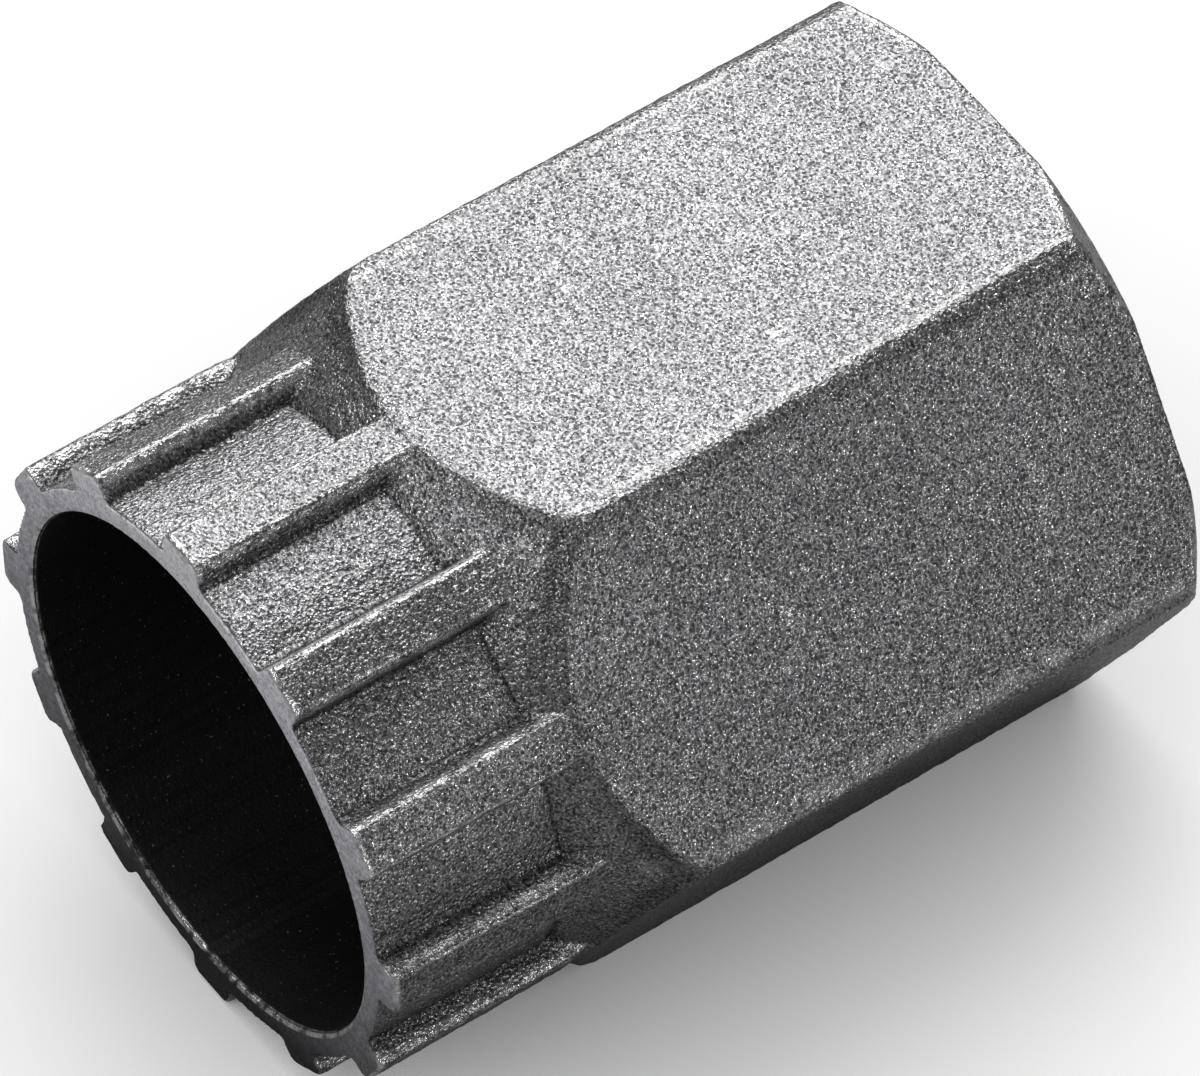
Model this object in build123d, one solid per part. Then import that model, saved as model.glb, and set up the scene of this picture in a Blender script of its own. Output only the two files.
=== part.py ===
from build123d import *
import os
from math import cos, radians, sin, tan

# A cassette lockring tool, cast in one piece: a hexagonal wrench body that tapers down to a
# tubular nose with straight splines. It lies on one wrench flat, with its nose towards -Y.
# The origin is on the floor, under the middle of the tool's length.

# Wrench body
wrench_flats = 23.8          # across flats, so that a 24 mm wrench slides on
wrench_sides = 6
corner_round = 0.4           # radius along the long corners
total_length = 33.1          # nose face to wrench end
end_bevel_width = 1.5        # how far in from the corners the wrench end is turned
end_bevel_angle = 30.0       # of that bevel, to the end face

# Splined nose
spline_count = 12
spline_tip_diameter = 23.6
spline_height = 0.95
spline_tip_width = 1.9       # across the flanks at the tip diameter, before rounding
spline_flank_angle = 8.0     # of each flank, to the spline's middle plane
spline_tip_round = 0.3
spline_root_round = 0.2
groove_length = 7.5          # nose face to the foot of the taper
groove_end_round = 0.3       # where a groove's floor turns up into the taper
nose_edge_break = 0.1        # around the outside of the nose face

# Taper from the grooves out to the wrench corners
taper_angle = 37.0           # to the axis
taper_blend = 3.0            # radius that eases the taper into the wrench corners
taper_straight = 0.1         # share of the taper's slope that stays straight under a short blend

# Bore
nose_wall = 0.95             # under the grooves, and the least wall under the flats
bore_edge_break = 0.15       # at both mouths

# Sizes that follow
tip_radius = spline_tip_diameter / 2
groove_radius = tip_radius - spline_height
flat_height = wrench_flats / 2
bore_radius = min(groove_radius, flat_height) - nose_wall
corner_radius = flat_height / cos(radians(180 / wrench_sides))
end_bevel_length = end_bevel_width * tan(radians(end_bevel_angle))
taper_rise = tan(radians(taper_angle))
taper_slope = (corner_radius - groove_radius) / sin(radians(taper_angle))
widest_blend = (1 - taper_straight) * taper_slope / tan(radians(taper_angle / 2)) - groove_end_round
shoulder_station = groove_length + (corner_radius - groove_radius) / taper_rise
spline_run = groove_length + spline_height / taper_rise + nose_wall
near = 0.001                 # how close a point lies to a radius that it is picked by


def turned_outline():
    """Half section of the turned form: X is the radius, Y the distance from the nose face."""
    with BuildSketch() as outline:
        with BuildLine():
            Polyline(
                (0, 0),
                (groove_radius, 0),
                (groove_radius, groove_length),
                (corner_radius, shoulder_station),
                (corner_radius, total_length - end_bevel_length),
                (corner_radius - end_bevel_width, total_length),
                (0, total_length),
                close=True,
            )
        make_face()
        foot = outline.vertices().sort_by_distance((groove_radius, groove_length))[0]
        fillet(foot, groove_end_round)
        shoulder = outline.vertices().sort_by_distance((corner_radius, shoulder_station))[0]
        fillet(shoulder, min(taper_blend, widest_blend))
    return outline.sketch


def wrench_section():
    """Cross-section of the wrench body: a hexagon with its corners rounded."""
    with BuildSketch() as section:
        RegularPolygon(corner_radius, wrench_sides)
        fillet(section.vertices(), corner_round)
    return section.sketch


def spline_section():
    """Cross-section of one spline with straight flanks, pointing along +X from inside the nose wall."""
    root = groove_radius - nose_wall / 2
    crest = tip_radius + spline_height
    root_half = spline_tip_width / 2 + (tip_radius - root) * tan(radians(spline_flank_angle))
    crest_half = spline_tip_width / 2 - spline_height * tan(radians(spline_flank_angle))
    corners = [(root, -root_half), (crest, -crest_half), (crest, crest_half), (root, root_half)]
    return Polygon(*corners, align=None)


def nose_section():
    """Cross-section of the splined nose, with the splines rounded at their tips and roots."""
    with BuildSketch() as section:
        with PolarLocations(0, spline_count):
            add(spline_section())
        Circle(tip_radius, mode=Mode.INTERSECT)
        Circle(groove_radius)
        tips = section.vertices().filter_by(lambda point: abs(point.center().length - tip_radius) < near)
        fillet(tips, spline_tip_round)
        roots = section.vertices().filter_by(lambda point: abs(point.center().length - groove_radius) < near)
        fillet(roots, spline_root_round)
    return section.sketch


def lockring_tool():
    """The whole tool on the Y axis, with its nose face at the origin."""
    across = Plane(origin=(0, 0, 0), x_dir=(1, 0, 0), z_dir=(0, 1, 0))
    with BuildPart() as tool:
        # The turned form, cut down to the wrench flats
        add(turned_outline())
        revolve(axis=Axis.Y)
        with BuildSketch(across):
            add(wrench_section())
        extrude(amount=total_length, mode=Mode.INTERSECT)
        # The splines, which run on until the taper has buried them
        with BuildSketch(across):
            add(nose_section())
        extrude(amount=spline_run)
        nose_rim = tool.faces().sort_by(Axis.Y)[0].outer_wire().edges()
        chamfer(nose_rim, nose_edge_break)
        # The bore, right through
        with BuildSketch(across):
            Circle(bore_radius)
        extrude(amount=total_length, mode=Mode.SUBTRACT)
        for end_face in (tool.faces().sort_by(Axis.Y)[0], tool.faces().sort_by(Axis.Y)[-1]):
            chamfer(end_face.inner_wires().edges(), bore_edge_break)
    return tool.part


os.makedirs("parts", exist_ok=True)
resting = Pos(0, -total_length / 2, flat_height) * lockring_tool()
resting.label = "lockring_tool"
export_step(resting, "parts/lockring_tool.step")
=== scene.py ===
import bpy
from math import atan2, cos, pi, radians, sin, tan
from mathutils import Matrix, Vector


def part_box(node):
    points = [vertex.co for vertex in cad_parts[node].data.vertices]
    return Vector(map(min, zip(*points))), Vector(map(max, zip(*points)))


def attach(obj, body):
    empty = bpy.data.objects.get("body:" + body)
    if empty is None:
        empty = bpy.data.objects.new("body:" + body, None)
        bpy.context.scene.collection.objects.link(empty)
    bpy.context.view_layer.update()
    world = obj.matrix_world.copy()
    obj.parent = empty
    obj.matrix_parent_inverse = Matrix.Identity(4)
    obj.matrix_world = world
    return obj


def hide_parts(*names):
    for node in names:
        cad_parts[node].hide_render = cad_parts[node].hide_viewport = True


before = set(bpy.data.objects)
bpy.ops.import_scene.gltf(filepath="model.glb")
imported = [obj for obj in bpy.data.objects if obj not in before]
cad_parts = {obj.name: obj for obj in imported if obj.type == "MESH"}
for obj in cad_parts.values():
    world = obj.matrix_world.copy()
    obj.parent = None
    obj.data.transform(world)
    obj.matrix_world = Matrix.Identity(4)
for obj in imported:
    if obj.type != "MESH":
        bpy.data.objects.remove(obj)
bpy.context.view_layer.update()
toolLow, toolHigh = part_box("lockring_tool")
mm = 0.001
hair = 0.01  # mm, how near a point lies to the size it is picked by


# Small helpers for modelling

def clearSelection():
    bpy.ops.object.select_all(action="DESELECT")


def makeActive(piece):
    clearSelection()
    piece.select_set(True)
    bpy.context.view_layer.objects.active = piece


def nameNew(name):
    piece = bpy.context.active_object
    piece.name = name
    piece.data.name = name
    return piece


def applyModifier(piece, kind, **settings):
    makeActive(piece)
    modifier = piece.modifiers.new(kind.title(), kind)
    for setting, value in settings.items():
        setattr(modifier, setting, value)
    bpy.ops.object.modifier_apply(modifier=modifier.name)


def selectVertices(piece, wanted):
    bpy.ops.mesh.select_all(action="DESELECT")
    bpy.ops.object.mode_set(mode="OBJECT")
    for vertex in piece.data.vertices:
        vertex.select = wanted(vertex.co)
    bpy.ops.object.mode_set(mode="EDIT")


def selectEdges(piece, wanted):
    bpy.ops.mesh.select_all(action="DESELECT")
    bpy.ops.object.mode_set(mode="OBJECT")
    points = piece.data.vertices
    for edge in piece.data.edges:
        edge.select = wanted(points[edge.vertices[0]].co, points[edge.vertices[1]].co)
    bpy.ops.object.mode_set(mode="EDIT")
    bpy.ops.mesh.select_mode(type="EDGE")


def joinShape(piece, other, operation):
    applyModifier(piece, "BOOLEAN", object=other, operation=operation, solver="EXACT")
    bpy.data.objects.remove(other)


# rings are (station, radius) pairs from one end to the other
def turnOnLathe(name, rings, segments):
    (start, radius), rest = rings[0], rings[1:]
    bpy.ops.mesh.primitive_circle_add(
        vertices=segments, radius=radius, fill_type="NGON", location=(0, 0, start)
    )
    piece = nameNew(name)
    bpy.ops.object.transform_apply(location=True)
    bpy.ops.object.mode_set(mode="EDIT")
    bpy.ops.mesh.select_all(action="SELECT")
    for station, nextRadius in rest:
        bpy.ops.mesh.extrude_region_move(TRANSFORM_OT_translate={"value": (0, 0, station - start)})
        grow = nextRadius / radius
        bpy.ops.transform.resize(value=(grow, grow, 1), center_override=(0, 0, station))
        start, radius = station, nextRadius
    bpy.ops.mesh.select_all(action="SELECT")
    bpy.ops.mesh.normals_make_consistent(inside=False)
    bpy.ops.object.mode_set(mode="OBJECT")
    return piece


# The tool, modelled upright in millimetres with its nose face down, and laid on its flat at the end

tool = {
    "flats": 23.8,                # across the wrench flats
    "length": 33.1,
    "endBevel": 1.5,              # how far in from the corners
    "endBevelAngle": 38,          # degrees
    "cornerBreak": 0.42,          # along the long corners
    "splines": 12,
    "splineTip": 11.85,           # radii, the tips a little proud of what smoothing leaves
    "groove": 10.85,
    "splineWidth": 1.9,           # at the tips
    "splineFlank": 8,             # degrees
    "splineBreak": 0.13,          # how far its tip edges are broken
    "noseBreak": 0.12,            # and its front edge
    "splineSunk": 0.4,            # how deep its root stands in the nose wall
    "splineRunOn": 2.2,           # how far it runs on into the taper
    "grooveLength": 7.5,
    "footDepth": 0.09,            # of the dark line where a groove's floor meets the taper
    "footSpan": (-0.06, 0.08),    # from the groove's end to its deepest and its half-deep ring
    "footReach": 0.22,            # to where the line runs out on both sides
    "sinkDepth": 0.07,            # how far the skin sinks beside the arcs where the flats start
    "sinkMiddle": -0.3,           # where it sinks most, by how far the taper stands proud there
    "sinkWidth": 0.5,
    "sinkLevels": 10,
    "sinkSpan": (7.9, 14.0),      # stations between which it may sink
    "taper": 37,                  # degrees to the axis
    "taperBlend": 3.0,
    "blendSteps": 10,
    "bore": 9.9,
    "boreEdge": 0.15,
    "overrun": 1.0,               # how far the reamer reaches past both ends
    "segments": 192,
    "voxel": 0.11,
    "softening": 2,               # smoothing passes over the edges
    "unevenSize": 0.9,            # of the cast skin's waves
    "unevenDepth": 0.05,
    "roughSize": 0.28,
    "roughDepth": 0.05,
    "sunkShare": 0.6,             # of both depths that lies below the surface
    "skinFromBore": (0.2, 0.35),  # where the uneven skin starts and is full
    "skinFromEnds": (0.04, 0.12),
    "edgeShare": 0.4,             # of the unevenness between those two
    "triangles": 190000,
    "inside": 0.002,              # how far inside the CAD's box the worn peaks end
}


def taperRings(shape):
    slope = radians(shape["taper"])
    corner = shape["flats"] / 2 / cos(pi / 6)
    foot, floor, sunk = shape["grooveLength"], shape["groove"], shape["footDepth"]
    deepest, halfDeep = shape["footSpan"]
    reach = shape["footReach"]
    rings = [
        (foot - reach, floor),
        (foot + deepest, floor - sunk),
        (foot + halfDeep, floor - sunk / 2),
        (foot + reach, floor + reach * tan(slope)),
    ]
    blend = shape["taperBlend"]
    blendEnd = foot + (corner - floor) / tan(slope) + blend * tan(slope / 2)
    for step in range(shape["blendSteps"] + 1):
        turn = slope * (1 - step / shape["blendSteps"])
        rings.append((blendEnd - blend * sin(turn), corner - blend * (1 - cos(turn))))
    return rings, corner


def makeBlank(shape):
    taper, corner = taperRings(shape)
    bevelLength = shape["endBevel"] * tan(radians(shape["endBevelAngle"]))
    rings = [(0, shape["groove"])] + taper
    rings += [(shape["length"] - bevelLength, corner), (shape["length"], corner - shape["endBevel"])]
    blank = turnOnLathe("lockringTool", rings, shape["segments"])
    bpy.ops.object.mode_set(mode="EDIT")
    for flat in range(6):
        facing = radians(30 + 60 * flat)
        outward = Vector((cos(facing), sin(facing), 0))
        bpy.ops.mesh.select_all(action="SELECT")
        bpy.ops.mesh.bisect(
            plane_co=outward * shape["flats"] / 2, plane_no=outward, clear_outer=True, use_fill=True
        )
    shortest = shape["length"] / 4  # only the edges along the corners are longer
    selectEdges(
        blank, lambda a, b: min(a.xy.length, b.xy.length) > corner - hair and abs(a.z - b.z) > shortest
    )
    bpy.ops.mesh.bevel(offset=shape["cornerBreak"], segments=1)
    bpy.ops.object.mode_set(mode="OBJECT")
    return blank


def makeSplines(shape):
    tip = shape["splineTip"]
    root = shape["groove"] - shape["splineSunk"]
    height = tip - root
    run = shape["grooveLength"] + shape["splineRunOn"]
    narrow = shape["splineWidth"] / 2
    wide = narrow + height * tan(radians(shape["splineFlank"]))
    bpy.ops.mesh.primitive_cube_add(
        size=1, location=(root + height / 2, 0, run / 2), scale=(height, 2 * wide, run)
    )
    spline = nameNew("spline")
    bpy.ops.object.transform_apply(location=True, scale=True)
    bpy.ops.object.mode_set(mode="EDIT")
    selectVertices(spline, lambda co: co.x > tip - hair)
    bpy.ops.transform.resize(value=(1, narrow / wide, 1), center_override=(0, 0, 0))
    selectEdges(spline, lambda a, b: min(a.x, b.x) > tip - hair and abs(a.z - b.z) > run / 2)
    bpy.ops.mesh.bevel(offset=shape["splineBreak"], segments=1)
    brokenDown = tip - 2 * shape["splineBreak"]
    selectEdges(spline, lambda a, b: max(a.z, b.z) < hair and min(a.x, b.x) > brokenDown)
    bpy.ops.mesh.bevel(offset=shape["noseBreak"], segments=1)
    bpy.ops.object.mode_set(mode="OBJECT")
    copies = [spline]
    for step in range(1, shape["splines"]):
        makeActive(spline)
        bpy.ops.object.duplicate()
        copy = bpy.context.active_object
        copy.rotation_euler.z = 2 * pi * step / shape["splines"]
        copies.append(copy)
    clearSelection()
    for copy in copies:
        copy.select_set(True)
    bpy.context.view_layer.objects.active = spline
    bpy.ops.object.transform_apply(rotation=True)
    bpy.ops.object.join()
    return spline


# How far the taper stands proud of the nearest flat, in mm: 0 along the arcs where the flats start
def taperOverFlat(co, shape):
    flat = pi / 3
    turn = (atan2(co.y, co.x) - flat / 2) % flat
    flatRadius = shape["flats"] / 2 / cos(min(turn, flat - turn))
    return shape["groove"] + (co.z - shape["grooveLength"]) * tan(radians(shape["taper"])) - flatRadius


# Sinks the skin in a shallow band on the taper's side of the arcs
def sinkShoulder(piece, shape):
    band = piece.vertex_groups.new(name="band")
    start, end = shape["sinkSpan"]
    most = shape["sinkLevels"]
    levels = {}
    for vertex in piece.data.vertices:
        if start < vertex.co.z < end and vertex.co.xy.length > shape["groove"]:
            share = 1 - abs(taperOverFlat(vertex.co, shape) - shape["sinkMiddle"]) / shape["sinkWidth"]
            if share > 0:
                levels.setdefault(round(share * most), []).append(vertex.index)
    for level, indices in levels.items():
        band.add(indices, level / most, "REPLACE")
    applyModifier(piece, "DISPLACE", strength=-shape["sinkDepth"], mid_level=0, vertex_group="band")
    piece.vertex_groups.clear()


# Makes the cast skin uneven, and leaves the ground nose face and the bore smooth
def roughenSkin(piece, shape):
    edgeRadius, skinRadius = [shape["bore"] + reach for reach in shape["skinFromBore"]]
    edgeStation, skinStation = shape["skinFromEnds"]
    cast, edge = [], []
    for vertex in piece.data.vertices:
        radius, station = vertex.co.xy.length, vertex.co.z
        if radius > skinRadius and skinStation < station < shape["length"] - skinStation:
            cast.append(vertex.index)
        elif radius > edgeRadius and station > edgeStation:
            edge.append(vertex.index)
    skin = piece.vertex_groups.new(name="skin")
    skin.add(cast, 1, "REPLACE")
    skin.add(edge, shape["edgeShare"], "REPLACE")
    waves = ((shape["unevenSize"], shape["unevenDepth"]), (shape["roughSize"], shape["roughDepth"]))
    for size, depth in waves:
        clouds = bpy.data.textures.new("clouds", "CLOUDS")
        clouds.noise_scale = size
        clouds.noise_depth = 1
        applyModifier(
            piece, "DISPLACE", texture=clouds, texture_coords="LOCAL", strength=depth,
            mid_level=shape["sunkShare"], vertex_group="skin"
        )
    piece.vertex_groups.clear()


# Wears what stands proud of the top and bottom flats, the corners and the ends back to their planes
def flattenPeaks(piece, shape):
    half = shape["flats"] / 2 - shape["inside"]
    corner = toolHigh.x / mm - shape["inside"]
    planes = [
        ((1, 0, 0), corner), ((-1, 0, 0), corner), ((0, 1, 0), half), ((0, -1, 0), half),
        ((0, 0, 1), shape["length"] - shape["inside"]), ((0, 0, -1), -shape["inside"]),
    ]
    makeActive(piece)
    bpy.ops.object.mode_set(mode="EDIT")
    bpy.ops.mesh.select_mode(type="VERT")
    for direction, reach in planes:
        outward = Vector(direction)
        selectVertices(piece, lambda co: co.dot(outward) > reach)
        flat = [0 if part else 1 for part in direction]
        bpy.ops.transform.resize(value=flat, center_override=outward * reach)
    bpy.ops.object.mode_set(mode="OBJECT")


def makeTool(shape):
    blank = makeBlank(shape)
    joinShape(blank, makeSplines(shape), "UNION")
    mouth, over, bore = shape["boreEdge"], shape["overrun"], shape["bore"]
    reamer = turnOnLathe("reamer", [
        (-over, bore + mouth + over),
        (mouth, bore),
        (shape["length"] - mouth, bore),
        (shape["length"] + over, bore + mouth + over),
    ], shape["segments"])
    joinShape(blank, reamer, "DIFFERENCE")
    print("blank", len(blank.data.polygons), "faces")
    applyModifier(blank, "REMESH", mode="VOXEL", voxel_size=shape["voxel"], adaptivity=0)
    print("remeshed", len(blank.data.polygons), "faces")
    applyModifier(blank, "SMOOTH", factor=0.5, iterations=shape["softening"])
    sinkShoulder(blank, shape)
    roughenSkin(blank, shape)
    triangles = sum(len(face.vertices) - 2 for face in blank.data.polygons)
    applyModifier(blank, "DECIMATE", ratio=shape["triangles"] / triangles)
    flattenPeaks(blank, shape)
    print("thinned", len(blank.data.polygons), "faces")
    makeActive(blank)
    bpy.ops.object.shade_smooth()
    blank.scale = (mm, mm, mm)
    blank.rotation_euler.x = -pi / 2
    blank.location = (0, toolLow.y, (toolLow.z + toolHigh.z) / 2)
    bpy.ops.object.transform_apply(location=True, rotation=True, scale=True)
    return blank


lockringTool = makeTool(tool)
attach(lockringTool, "root")
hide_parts("lockring_tool")
print("tool made")


# Small helpers for materials

def addNode(tree, kind, inputs=None, **settings):
    node = tree.nodes.new("ShaderNode" + kind)
    for setting, value in settings.items():
        setattr(node, setting, value)
    for socket, value in (inputs or {}).items():
        if isinstance(value, bpy.types.NodeSocket):
            tree.links.new(value, node.inputs[socket])
        else:
            node.inputs[socket].default_value = value
    return node


def calculate(tree, operation, *values, clamp=False):
    return addNode(tree, "Math", dict(enumerate(values)), operation=operation, use_clamp=clamp).outputs[0]


def every(tree, *shares):
    product = shares[0]
    for share in shares[1:]:
        product = calculate(tree, "MULTIPLY", product, share)
    return product


def largest(tree, *shares):
    most = shares[0]
    for share in shares[1:]:
        most = calculate(tree, "MAXIMUM", most, share)
    return most


# 0 to 1 as value goes from start to end, or low to high
def fade(tree, value, start, end, low=0.0, high=1.0):
    inputs = {"Value": value, "From Min": start, "From Max": end, "To Min": low, "To Max": high}
    return addNode(tree, "MapRange", inputs).outputs["Result"]


# 1 where value is at the middle, 0 where it is reach away
def near(tree, value, middle, reach):
    away = calculate(tree, "ABSOLUTE", calculate(tree, "SUBTRACT", value, middle))
    return fade(tree, away, reach, reach / 2)


def blend(tree, share, first, second):
    return addNode(tree, "Mix", {0: share, 6: first, 7: second}, data_type="RGBA").outputs[2]


def blendValue(tree, share, first, second):
    return addNode(tree, "Mix", {0: share, 2: first, 3: second}, data_type="FLOAT").outputs[0]


def scaleColour(tree, colour, share):
    return addNode(tree, "VectorMath", {0: colour, "Scale": share}, operation="SCALE").outputs["Vector"]


def noise(tree, place, scale, detail=1.0, roughness=0.5):
    inputs = {"Vector": place, "Scale": scale, "Detail": detail, "Roughness": roughness}
    return addNode(tree, "TexNoise", inputs).outputs["Fac"]


def opaque(colour):
    return (*colour, 1)


# Finish: bare cast steel with a sandy skin, its nose face ground and its bore black

steel = {
    "castColour": (0.245, 0.245, 0.253),
    "pitColour": (0.07, 0.07, 0.075),
    "peakColour": (0.42, 0.42, 0.427),
    "wearAndHighlightColour": (0.70, 0.70, 0.70),
    # near white for the painted glints in the grain and the painted highlights on the front rims and the
    # bore's mouth
    "glintAndHighlightColour": (0.9, 0.9, 0.9),
    "groundColour": (0.87, 0.85, 0.92),
    "boreColour": (0.03, 0.03, 0.03),
    "fleckColour": (0.35, 0.35, 0.35),
    "metallic": 0.85,
    "roughness": (0.40, 0.24),       # from the low grain to the high
    "glintAndWearRoughness": 0.25,
    "groundRoughness": 0.7,
    "boreRoughness": 0.6,
    "grainSize": 8.5,                # patterns per mm
    "paintedGlintSize": 11.0,
    "clumpSize": 2.4,
    "pitSize": 1.9,
    "breakSize": 1.6,
    "mottleSize": 0.22,
    "scuffSize": 4.0,
    "coarse": (2.0, 0.6),            # detail and roughness of the clumps, the breaks and the scuffs
    "speckle": (0.34, 0.5, 0.68),    # of the grain, where it is pit, cast and peak colour
    # painted glints: where the sparse bright specks of the grain start and are full
    "paintedGlints": (0.625, 0.685),       # of its pattern, where a sparkle starts and is full
    "breaks": (0.38, 0.58),          # of theirs, where a worn line starts and is whole
    "flecks": (0.72, 0.78),          # of the grain, in the bore
    "scuffStreaks": (0.55, 0.62),
    "streakTurn": (0.5, 0.3, 0.9),
    "streakStretch": (1, 0.35, 1),
    "streakEdge": 0.4,               # of a patch's reach, from where its nicks thin out
    "pit": (0.30, 0.10),             # how far from its middle a pit starts and is full
    "pitShare": 0.4,
    "wearAndHighlightShare": 0.85,
    "grainHeight": 0.065,            # mm
    "clumpHeight": 0.08,
    "pitDepth": 0.02,
    "smoothRelief": 0.3,             # what of the relief the ground face and the bore keep
    "shadeAndDirtLeft": 0.35,                    # what the dark lines leave of the colour
    # painted shade: the cast skin darker towards the floor
    "paintedShadeByHeight": (0.87, 1.02),     # darker towards the floor
    # painted shade on the nose face, darker towards the floor, where it mirrors the tool's shadow
    "paintedFaceShade": (0.06, 1.16),     # and the nose face more so
    "mottleShade": (0.92, 1.08),
    "groundClumps": (0.85, 1.15),
    "groundGrain": (0.75, 1.25),
    "patternSpan": (0.3, 0.7),       # between which most of a pattern's values lie
    "clumpSpan": (0.3, 0.5),
    # how strong the fainter lines of wear, and of dirt and painted shade, are
    "cornerShare": 0.45,
    "bevelShare": 0.8,
    "lowCornerShare": 0.35,
    "besideCornerShare": 0.45,
    "arcShare": (0.1, 0.7),
    "shadeAndDirtShare": (0.7, 1.0),
    # middle and reach in mm of the patches that carry nicks
    "scuffs": [
        ((10.3, 0.6, 17.8), 0.9), ((9.7, -0.6, 18.8), 0.5), ((4.0, 5.1, 23.8), 0.7), ((5.3, 9.1, 23.8), 0.5),
    ],
}


# Where each mark starts and is full, or its middle and its reach, in mm
marks = {
    "face": (0.10, 0.04),            # behind the nose face
    "bore": (0.08, 0.03),            # outside the bore
    "body": (12.3, 12.5),            # from the axis
    "side": (-0.02, 0.1),            # past the edge of the top flat
    "splineEnd": (0.1, -0.3),        # past where the taper has buried the splines
    "tip": (-0.45, -0.35),           # outside the splines' tips
    "tipEdges": (-0.03, 0.02),       # beside the broken edge on the tip, and beside the flank
    "tipLine": 0.07,
    "rim": (0.30, 0.18),             # behind the nose face
    "rimStart": (0.012, 0.035),
    "rimFoot": (11.0, 11.3),         # from the axis
    "mouth": (0.22, 0.14),           # behind the nose face
    "mouthRing": (0.08, 0.16),       # outside the bore
    "corner": (0.08, 0.14),          # beside the broken corner
    "bevel": (-0.16, 0.2),           # outside the end bevel
    "lowCorner": (0.4, 0.5),         # over the axis
    "low": (-0.45, -0.8),            # outside the splines' tips
    "root": (0.16, 0.16),            # beside a spline
    "foot": 0.11,                    # on both sides of the groove's end
    "footAside": (0.0, 0.2),         # beside a spline
    "footHeight": (0.4, 0.2),        # over the groove's floor
    "arc": 0.5,
    "arcRadius": (11.8, 12.5),
    "besideCorner": (0.25, 0.55),    # beside the corner
    "upperHalf": (2.0, 4.0),         # over the axis
    # where the painted shade on the nose face is darkest
    "groundFoot": 2.0,               # over the floor
}


def shifted(base, *steps):
    return [base + step for step in steps]


# Where a point lies on the tool, in mm, from its place in mm
def measure(tree, place):
    parts = addNode(tree, "SeparateXYZ", {"Vector": place}).outputs
    across, height = parts["X"], parts["Z"]
    along = calculate(tree, "ADD", parts["Y"], tool["length"] / 2)
    above = calculate(tree, "SUBTRACT", height, tool["flats"] / 2)
    squares = [calculate(tree, "MULTIPLY", part, part) for part in (across, above)]
    radius = calculate(tree, "SQRT", calculate(tree, "ADD", *squares))
    angle = calculate(tree, "ARCTAN2", above, across)
    fromSpline = calculate(tree, "PINGPONG", angle, pi / tool["splines"])
    fromFlat = calculate(tree, "PINGPONG", calculate(tree, "SUBTRACT", angle, pi / 6), pi / 6)
    half = tool["flats"] / 2
    flatRadius = calculate(tree, "DIVIDE", half, calculate(tree, "COSINE", fromFlat))
    taperRadius = calculate(
        tree, "MULTIPLY_ADD", calculate(tree, "SUBTRACT", along, tool["grooveLength"]),
        tan(radians(tool["taper"])), tool["groove"]
    )
    fromTangent = calculate(tree, "SUBTRACT", tan(pi / 6), calculate(tree, "TANGENT", fromFlat))
    return {
        "across": across,
        "height": height,                                               # over the floor
        "above": above,                                                 # over the axis
        "along": along,                                                 # behind the nose face
        "radius": radius,
        "aside": calculate(tree, "MULTIPLY", radius, fromSpline),       # from a spline's middle
        "toCorner": calculate(tree, "MULTIPLY", fromTangent, half),     # along a flat
        "proud": calculate(tree, "SUBTRACT", taperRadius, flatRadius),  # of the taper over the flat
    }


# The zones of the tool, 1 on each and 0 off it
def findZones(tree, at):
    flatEdge = tool["flats"] / 4 / cos(pi / 6)
    aside = calculate(tree, "ABSOLUTE", at["across"])
    rise = (tool["splineTip"] - tool["groove"]) / tan(radians(tool["taper"]))
    buried = tool["grooveLength"] + rise
    return {
        "face": fade(tree, at["along"], *marks["face"]),
        "bore": fade(tree, at["radius"], *shifted(tool["bore"], *marks["bore"])),
        "splines": fade(tree, at["along"], *shifted(buried, *marks["splineEnd"])),
        "body": fade(tree, at["radius"], *marks["body"]),                # out past the splines
        "side": fade(tree, aside, *shifted(flatEdge, *marks["side"])),   # the four slanting flats
    }


# Bright wear and painted highlights in broken lines: along the spline tips, on their front rims and on the
# bore's mouth
def wornAndHighlitNose(tree, at, zones, breaks):
    half, along, radius = tool["splineWidth"] / 2, at["along"], at["radius"]
    onBreak, onFlank = marks["tipEdges"]
    edges = largest(
        tree, near(tree, at["aside"], half - tool["splineBreak"] + onBreak, marks["tipLine"]),
        near(tree, at["aside"], half + onFlank, marks["tipLine"])
    )
    onTip = fade(tree, radius, *shifted(tool["splineTip"], *marks["tip"]))
    tipEdge = every(tree, onTip, zones["splines"], edges, breaks)
    rim = every(
        tree, fade(tree, along, *marks["rim"]), fade(tree, along, *marks["rimStart"]),
        fade(tree, radius, *marks["rimFoot"]), breaks
    )
    ring, reach = marks["mouthRing"]
    roundMouth = near(tree, radius, tool["bore"] + ring, reach)
    mouth = every(tree, fade(tree, along, *marks["mouth"]), roundMouth, breaks)
    return tipEdge, rim, mouth


# The same on the body: along the top corners, the side corners and the end bevel
def wornBody(tree, at, zones, look, breaks):
    body = zones["body"]
    notSide = calculate(tree, "SUBTRACT", 1.0, zones["side"])
    beside, reach = marks["corner"]
    line = near(tree, at["toCorner"], tool["cornerBreak"] + beside, reach)
    topCorner = every(tree, body, notSide, line, breaks, look["cornerShare"])
    bevelSlope = 1 / tan(radians(tool["endBevelAngle"]))
    bevelStart = tool["length"] - tool["endBevel"] / bevelSlope
    corner = tool["flats"] / 2 / cos(pi / 6)
    pastStart = calculate(tree, "SUBTRACT", at["along"], bevelStart)
    bevelRadius = calculate(tree, "MULTIPLY_ADD", pastStart, -bevelSlope, corner)
    line = near(tree, calculate(tree, "SUBTRACT", at["radius"], bevelRadius), *marks["bevel"])
    bevelEdge = every(tree, line, breaks, body, look["bevelShare"])
    line = near(tree, at["above"], *marks["lowCorner"])
    lowCorner = every(tree, body, line, breaks, look["lowCornerShare"])
    return largest(tree, topCorner, bevelEdge, lowCorner)


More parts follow.
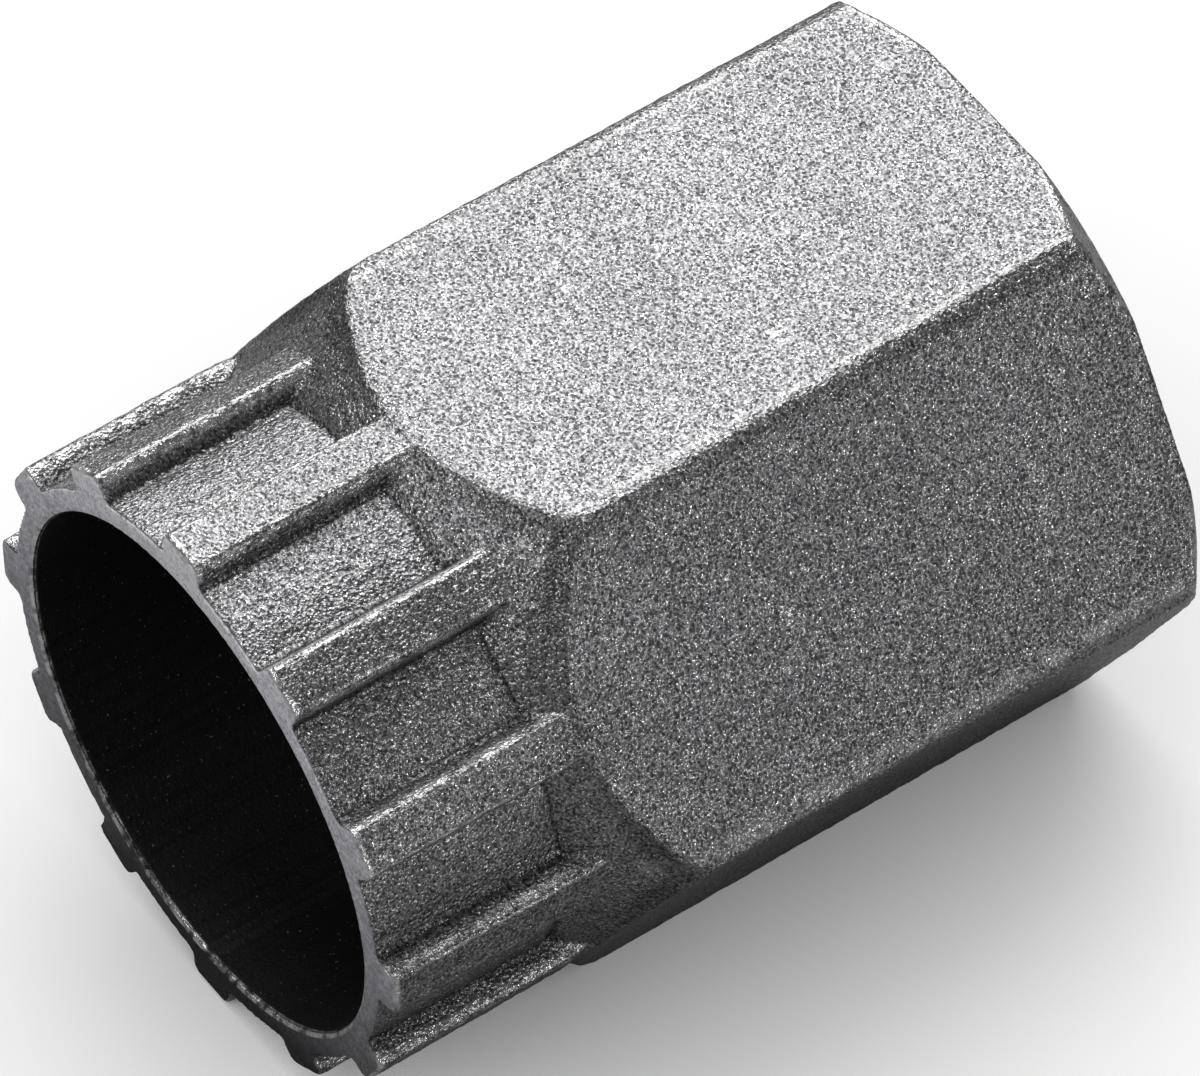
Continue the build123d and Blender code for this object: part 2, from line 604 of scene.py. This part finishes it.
# Nicks in the patches that are listed as scuffs
def nicks(tree, place, look):
    inputs = {"Vector": place, "Rotation": look["streakTurn"], "Scale": look["streakStretch"]}
    stretched = addNode(tree, "Mapping", inputs).outputs["Vector"]
    streaks = fade(tree, noise(tree, stretched, look["scuffSize"], *look["coarse"]), *look["scuffStreaks"])
    patches = []
    for middle, reach in look["scuffs"]:
        away = addNode(tree, "VectorMath", {0: place, 1: middle}, operation="DISTANCE").outputs["Value"]
        patches.append(every(tree, fade(tree, away, reach, reach * look["streakEdge"]), streaks))
    return largest(tree, *patches)


# Darker lines, partly dirt and partly painted shade: at the roots of the splines and at the foot of the
# taper, where shade gathers in the creases, and painted shade beside the arcs and under the top corners
def shadeAndDirtLines(tree, at, zones, look):
    half, radius, aside = tool["splineWidth"] / 2, at["radius"], at["aside"]
    low = fade(tree, radius, *shifted(tool["splineTip"], *marks["low"]))
    beside, reach = marks["root"]
    root = every(tree, low, zones["splines"], near(tree, aside, half + beside, reach))
    foot = every(
        tree, near(tree, at["along"], tool["grooveLength"], marks["foot"]),
        fade(tree, aside, *shifted(half, *marks["footAside"])),
        fade(tree, radius, *shifted(tool["groove"], *marks["footHeight"]))
    )
    arc = every(
        tree, near(tree, at["proud"], tool["sinkMiddle"], marks["arc"]),
        fade(tree, radius, *marks["arcRadius"], *look["arcShare"])
    )
    besideCorner = every(
        tree, zones["body"], zones["side"], fade(tree, at["above"], *marks["upperHalf"]),
        near(tree, at["toCorner"], *marks["besideCorner"]), look["besideCornerShare"]
    )
    return largest(tree, root, foot, arc, besideCorner)


def castSteel(look):
    material = bpy.data.materials.new("castSteel")
    material.use_nodes = True
    tree = material.node_tree
    shader = tree.nodes["Principled BSDF"]
    metres = addNode(tree, "TexCoord").outputs["Object"]
    place = addNode(tree, "Mapping", {"Vector": metres, "Scale": (1 / mm,) * 3}).outputs["Vector"]
    at = measure(tree, place)
    zones = findZones(tree, at)

    # Patterns
    grain = noise(tree, place, look["grainSize"])
    clump = noise(tree, place, look["clumpSize"], *look["coarse"])
    mottle = noise(tree, place, look["mottleSize"])
    # painted glints: sparse specks of the grain made near white and glossy
    paintedGlints = fade(tree, noise(tree, place, look["paintedGlintSize"]), *look["paintedGlints"])
    breaks = fade(tree, noise(tree, place, look["breakSize"], *look["coarse"]), *look["breaks"])
    cells = addNode(tree, "TexVoronoi", {"Vector": place, "Scale": look["pitSize"]}).outputs["Distance"]
    pit = fade(tree, cells, *look["pit"])

    # Wear with painted highlights, and dirt with painted shade
    tipEdge, rim, mouth = wornAndHighlitNose(tree, at, zones, breaks)
    wornLines = wornBody(tree, at, zones, look, breaks)
    wearAndHighlights = largest(tree, tipEdge, rim, mouth, wornLines, nicks(tree, place, look))
    # dirt and painted shade, broken up in patches
    patchy = fade(tree, clump, *look["clumpSpan"], *look["shadeAndDirtShare"])
    shadeAndDirt = every(tree, shadeAndDirtLines(tree, at, zones, look), patchy)
    bareFace = calculate(tree, "SUBTRACT", zones["face"], largest(tree, mouth, rim), clamp=True)
    bareBore = calculate(tree, "SUBTRACT", zones["bore"], mouth, clamp=True)

    # Colour
    speckle = addNode(tree, "ValToRGB", {"Fac": grain})
    ramp = speckle.color_ramp
    low, middle, high = look["speckle"]
    ramp.elements[0].position = low
    ramp.elements[0].color = opaque(look["pitColour"])
    ramp.elements[1].position = high
    ramp.elements[1].color = opaque(look["peakColour"])
    ramp.elements.new(middle).color = opaque(look["castColour"])
    pitted = every(tree, pit, look["pitShare"])
    colour = blend(tree, pitted, speckle.outputs["Color"], opaque(look["pitColour"]))
    # wear, with painted highlights along the spline tips
    colour = blend(tree, every(tree, wearAndHighlights, look["wearAndHighlightShare"]), colour, opaque(look["wearAndHighlightColour"]))
    # painted glints, and painted highlights on the front rims and the bore's mouth
    colour = blend(tree, largest(tree, paintedGlints, mouth, rim), colour, opaque(look["glintAndHighlightColour"]))
    span, top = look["patternSpan"], tool["flats"]
    # the colour scaled by the mottle, by the dark lines of dirt and painted shade, and by painted shade
    # darker towards the floor
    colour = scaleColour(tree, colour, every(
        tree, fade(tree, mottle, *span, *look["mottleShade"]),
        fade(tree, shadeAndDirt, 0.0, 1.0, 1.0, look["shadeAndDirtLeft"]),
        fade(tree, at["height"], top / 3, top, *look["paintedShadeByHeight"])
    ))
    # the ground nose face, with painted shade darker towards the floor
    ground = scaleColour(tree, look["groundColour"], every(
        tree, fade(tree, clump, *span, *look["groundClumps"]),
        fade(tree, grain, *span, *look["groundGrain"]),
        fade(tree, at["height"], marks["groundFoot"], top, *look["paintedFaceShade"])
    ))
    flecks = fade(tree, grain, *look["flecks"])
    dark = blend(tree, flecks, opaque(look["boreColour"]), opaque(look["fleckColour"]))
    colour = blend(tree, bareFace, colour, ground)
    colour = blend(tree, bareBore, colour, dark)
    tree.links.new(colour, shader.inputs["Base Color"])

    # Gloss
    gloss = fade(tree, grain, *span, *look["roughness"])
    gloss = blendValue(tree, largest(tree, wearAndHighlights, paintedGlints), gloss, look["glintAndWearRoughness"])
    gloss = blendValue(tree, bareFace, gloss, look["groundRoughness"])
    gloss = blendValue(tree, bareBore, gloss, look["boreRoughness"])
    tree.links.new(gloss, shader.inputs["Roughness"])
    shader.inputs["Metallic"].default_value = look["metallic"]

    # Relief
    raised = calculate(
        tree, "ADD", every(tree, grain, look["grainHeight"]), every(tree, clump, look["clumpHeight"])
    )
    relief = calculate(tree, "SUBTRACT", raised, every(tree, pit, look["pitDepth"]))
    smooth = largest(tree, zones["face"], zones["bore"])
    relief = every(tree, relief, fade(tree, smooth, 0.0, 1.0, 1.0, look["smoothRelief"]))
    bump = addNode(tree, "Bump", {"Strength": 1.0, "Distance": mm, "Height": relief})
    tree.links.new(bump.outputs["Normal"], shader.inputs["Normal"])
    return material


lockringTool.data.materials.clear()
lockringTool.data.materials.append(castSteel(steel))
print("steel made")

# Camera, with a long lens

view = {
    "azimuth": 56.45,          # degrees
    "elevation": 50.45,
    "roll": -2.147,
    "distance": 463.2,         # mm
    "aimRight": 13.685,        # from the middle of the nose face, mm
    "aimUp": 7.997,
    "lens": 411.25,
    "nearest": 0.01,           # metres, closer than which nothing shows
}


def makeCamera(look):
    around, height, roll = radians(look["azimuth"]), radians(look["elevation"]), radians(look["roll"])
    back = Vector((sin(around) * cos(height), -cos(around) * cos(height), sin(height)))
    level = Vector((cos(around), sin(around), 0))
    upright = back.cross(level)
    right = level * cos(roll) + upright * sin(roll)
    up = upright * cos(roll) - level * sin(roll)
    noseMiddle = Vector((0, toolLow.y, (toolLow.z + toolHigh.z) / 2))
    aim = noseMiddle + right * look["aimRight"] * mm + up * look["aimUp"] * mm
    cameraData = bpy.data.cameras.new("camera")
    cameraData.lens = look["lens"]
    cameraData.clip_start = look["nearest"]
    camera = bpy.data.objects.new("camera", cameraData)
    bpy.context.scene.collection.objects.link(camera)
    camera.matrix_world = Matrix((
        (right.x, up.x, back.x, 0), (right.y, up.y, back.y, 0), (right.z, up.z, back.z, 0), (0, 0, 0, 1)
    ))
    camera.location = aim + back * look["distance"] * mm
    bpy.context.scene.camera = camera


makeCamera(view)

# Floor, lamps and world

studio = {
    "floorSize": 8.0,          # metres
    "floorShade": 0.3,
    "nearGlow": 0.86,          # what lifts the floor to white for the eye, near the tool and far off
    "farGlow": 1.0,
    "nearMirrored": 0.05,      # the same in reflections
    "farMirrored": 0.12,
    "glowChange": (0.10, 0.30),
    # the glow dims near the tool as a painted contact shadow
    "paintedShadowReach": 0.05,         # how near the tool the glow is dimmed
    "worldStrength": 0.05,
    "lampDistance": 0.8,
    # direction from the tool, size in metres, and brightness
    "lamps": {
        "mainLamp": ((-0.53, 0.35, 0.77), 1.1, 2.75),
        "frontLamp": ((0.1, -0.75, 0.65), 0.48, 2.7),
        "rightLamp": ((0.93, 0.25, 0.25), 0.26, 5.2),
    },
}


def makeFloor(look):
    bpy.ops.mesh.primitive_plane_add(size=look["floorSize"], location=(0, 0, 0))
    floor = nameNew("floor")
    material = bpy.data.materials.new("paleFloor")
    material.use_nodes = True
    tree = material.node_tree
    tree.nodes.clear()
    rays = addNode(tree, "LightPath").outputs
    place = addNode(tree, "TexCoord").outputs["Object"]
    away = addNode(tree, "VectorMath", {0: place}, operation="LENGTH").outputs["Value"]
    straight = fade(tree, away, *look["glowChange"], look["nearGlow"], look["farGlow"])
    mirrored = fade(tree, away, *look["glowChange"], look["nearMirrored"], look["farMirrored"])
    reflected = largest(tree, rays["Is Glossy Ray"], rays["Is Transmission Ray"])
    glow = largest(tree, every(tree, straight, rays["Is Camera Ray"]), every(tree, mirrored, reflected))
    # painted contact shadow: ambient occlusion dims the floor's glow near the tool
    paintedShadowOpenness = addNode(tree, "AmbientOcclusion", {"Distance": look["paintedShadowReach"]}, samples=1).outputs["AO"]
    matt = addNode(tree, "BsdfDiffuse", {"Color": opaque((look["floorShade"],) * 3)})
    shine = addNode(tree, "Emission", {"Strength": every(tree, glow, paintedShadowOpenness)})
    both = addNode(tree, "AddShader", {0: matt.outputs[0], 1: shine.outputs[0]})
    addNode(tree, "OutputMaterial", {"Surface": both.outputs[0]})
    floor.data.materials.append(material)


def makeLamps(look):
    middle = Vector((0, 0, toolHigh.z / 2))
    for name, (direction, size, brightness) in look["lamps"].items():
        towards = Vector(direction).normalized()
        bpy.ops.object.light_add(type="AREA", location=middle + towards * look["lampDistance"])
        lamp = bpy.context.active_object
        lamp.name = name
        lamp.data.shape = "DISK"
        lamp.data.size = size
        lamp.data.energy = brightness * pi * pi * (size / 2) ** 2
        lamp.rotation_euler = towards.to_track_quat("Z", "Y").to_euler()


def makeWorld(look):
    world = bpy.data.worlds.new("studio")
    world.use_nodes = True
    tree = world.node_tree
    rays = addNode(tree, "LightPath").outputs
    around = tree.nodes["Background"].inputs
    around["Color"].default_value = (1, 1, 1, 1)
    reflected = largest(tree, rays["Is Glossy Ray"], rays["Is Transmission Ray"])
    mirrored = every(tree, reflected, look["farMirrored"])
    tree.links.new(largest(tree, rays["Is Camera Ray"], mirrored, look["worldStrength"]), around["Strength"])
    bpy.context.scene.world = world


makeFloor(studio)
makeLamps(studio)
makeWorld(studio)
bpy.context.scene.view_settings.view_transform = "Standard"
print("studio made")
